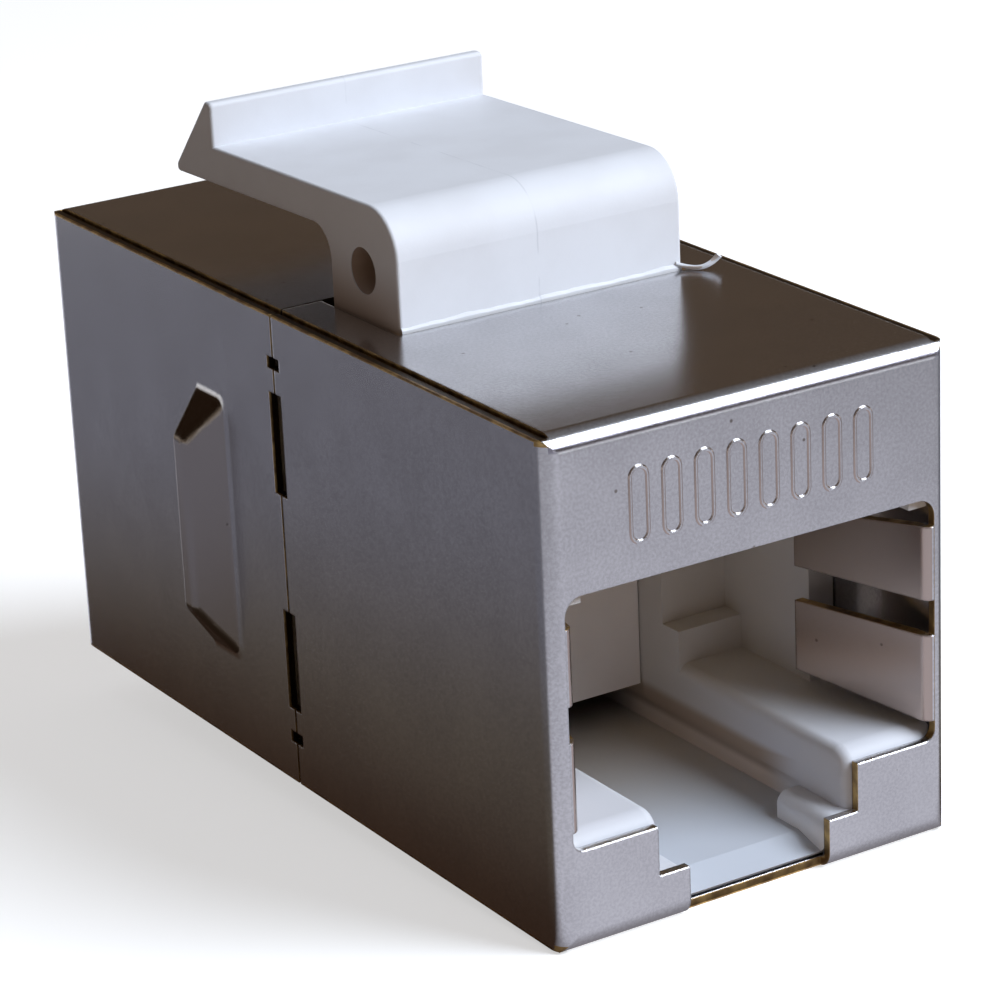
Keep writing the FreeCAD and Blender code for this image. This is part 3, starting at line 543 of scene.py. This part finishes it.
CARD_FAR_START = (-10, 80)
CARD_FAR_SLANT = 0.6
CARD_REAR_SLOPE = 4
CARD_HALF = 120
CARD_RISE = 0.05

lug_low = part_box("rear_housing")[0].z / MM
lug_catch = next(mount for mount in frame["record"]["mounts"] if mount["name"] == "lug_catch")
lug_place = lug_catch["pos_m"][1] / MM
near_edge = shell_low.y + BEND_RADIUS
tip = math.atan2(-lug_low, lug_place - near_edge)
table = Matrix.Translation(Vector((0, near_edge, 0)) * MM) @ Matrix.Rotation(-tip, 4, "X")


def lay(name, mesh, material):
    """Puts a stage piece on the table."""
    piece = bpy.data.objects.new(name, mesh)
    bpy.context.scene.collection.objects.link(piece)
    piece.matrix_world = table
    mesh.materials.append(material)
    return piece


def ray(make, kind):
    """1 for rays of that kind, and 0 for the others."""
    return make.node("LightPath", {}, {}, output=f"Is {kind} Ray")


floor_disc = bmesh.new()
bmesh.ops.create_circle(floor_disc, cap_ends=True, radius=FLOOR_RADIUS, segments=64)
floor_mesh = bpy.data.meshes.new("floor")
floor_disc.to_mesh(floor_mesh)
floor_disc.free()
floor_finish = Finish("table_top", Roughness=0.9, Specular_IOR_Level=0.0, Emission_Strength=1.0)
floor_make = floor_finish.make
seen = ray(floor_make, "Camera") | ray(floor_make, "Glossy") | ray(floor_make, "Transmission")
floor_bounce = (0 - floor_finish.y).fade(*FLOOR_FRONT_START).mix(FLOOR_NEAR, FLOOR_FRONT)
away = floor_make.node("VectorMath", {"operation": "LENGTH"}, {0: floor_finish.place}, output="Value")
floor_lift = away.fade(*FLOOR_LIFT_REACH).mix(FLOOR_LIFT, WHITE)
floor_finish.set(Base_Color=seen.mix(floor_bounce, FLOOR_SEEN), Emission_Color=seen.mix(BLACK, floor_lift))
lay("floor", floor_mesh, floor_finish.material)

card = bmesh.new()
corners = [(-CARD_HALF, -CARD_HALF), (CARD_HALF, -CARD_HALF), (CARD_HALF, CARD_HALF), (-CARD_HALF, CARD_HALF)]
card.faces.new([card.verts.new(Vector((x, y, CARD_RISE)) * MM) for x, y in corners])
card_mesh = bpy.data.meshes.new("card")
card.to_mesh(card_mesh)
card.free()
card_finish = Finish("card", Base_Color=BLACK, Specular_IOR_Level=0.0, Emission_Strength=1.0)
from_axis = abs(card_finish.x)
aside = from_axis - half_width
module_middle = seam - near_edge
beyond = (abs(card_finish.y - module_middle) - half_length).fade(-1, 1)
past_end = card_finish.y - (module_middle + half_length)
end_on = beyond & ((card_finish.y < 0) | (past_end > aside * CARD_REAR_SLOPE))
outer = (aside + card_finish.y * CARD_OUTER_SLANT).fade(*CARD_OUTER_START)
# Painted shadow: beside the module the card darkens towards its sides, as the module's shadow on the table
# would.
inner_tone = aside.fade(*CARD_MIDDLE_START).mix(CARD_FOOT_SHADOW, CARD_MIDDLE)
side_tone = outer.mix(inner_tone, CARD_OUTER)
far = (from_axis - card_finish.y * CARD_FAR_SLANT).fade(*CARD_FAR_START)
end_tone = far.mix(CARD_FRONT, CARD_FAR)
card_finish.set(Emission_Color=end_on.mix(side_tone, end_tone))
card_laid = lay("card", card_mesh, card_finish.material)
card_laid.visible_camera = False
card_laid.visible_diffuse = False
card_laid.visible_shadow = False

# Light
# A large cool window light stands in front, high and to the right. A white backdrop stands round the table, and
# over its low edge the plated metal reflects a dim brown room.

KEY_FROM = Vector((0.5, -0.56, 0.66))
KEY_DISTANCE = 350
KEY_SIZE = 240
KEY_POWER = 1.62
KEY_COLOUR = (0.82, 0.895, 1.0)
ROOM_LEFT = (0.07, 0.045, 0.03, 1)
ROOM_RIGHT = (0.1, 0.07, 0.048, 1)
ROOM_TURN = (-0.4, 0.3)
ROOM_HIGH = (0.2, 0.2, 0.21, 1)
ROOM_HIGH_START = (0.45, 0.9)
BACKDROP_TOP = (0.01, 0.04)

middle = Vector((0, seam, half_height)) * MM
key_data = bpy.data.lights.new("window", "AREA")
key_data.shape = "DISK"
key_data.size = KEY_SIZE * MM
key_data.energy = KEY_POWER
key_data.color = KEY_COLOUR
key = bpy.data.objects.new("window", key_data)
key.location = middle + KEY_FROM.normalized() * KEY_DISTANCE * MM
key.rotation_euler = (-KEY_FROM).to_track_quat("-Z", "Y").to_euler()
bpy.context.scene.collection.objects.link(key)

room = bpy.data.worlds.new("room")
room.use_nodes = True
bpy.context.scene.world = room
sky = Socket(room.node_tree)
heading = sky.node("TexCoord", {}, {}, output="Generated")
height = sky.node("SeparateXYZ", {}, {0: heading}, output="Z")
rightward = sky.node("SeparateXYZ", {}, {0: heading}, output="X")
walls = rightward.fade(*ROOM_TURN).mix(ROOM_LEFT, ROOM_RIGHT)
room_tone = height.fade(*ROOM_HIGH_START).mix(walls, ROOM_HIGH)
low = 1 - height.fade(*BACKDROP_TOP)
backdrop = ray(sky, "Camera") | ray(sky, "Transmission") | (ray(sky, "Glossy") & low)
background = room.node_tree.nodes["Background"]
room.node_tree.links.new(backdrop.mix(room_tone, WHITE).output, background.inputs["Color"])

# Camera
# It stands on the side that stays behind the panel, above the near port and to its left. Its place, roll and
# lens are those that bring the can's corners to where the photograph has them.

CAMERA_EYE = Vector((-61.855, -106.837, 52.055))
CAMERA_AIM = Vector((0.505, -5.91, 8.313))
CAMERA_ROLL = math.radians(2.547)
CAMERA_LENS = 139.12
CAMERA_SENSOR = 36

camera_data = bpy.data.cameras.new("camera")
camera_data.sensor_width = CAMERA_SENSOR
camera_data.lens = CAMERA_LENS
camera_data.clip_start = 1 * MM
camera = bpy.data.objects.new("camera", camera_data)
looking = (CAMERA_AIM - CAMERA_EYE).to_track_quat("-Z", "Y").to_matrix().to_4x4()
camera.matrix_world = Matrix.Translation(CAMERA_EYE * MM) @ looking @ Matrix.Rotation(-CAMERA_ROLL, 4, "Z")
bpy.context.scene.collection.objects.link(camera)
bpy.context.scene.camera = camera
bpy.context.scene.view_settings.view_transform = "Standard"
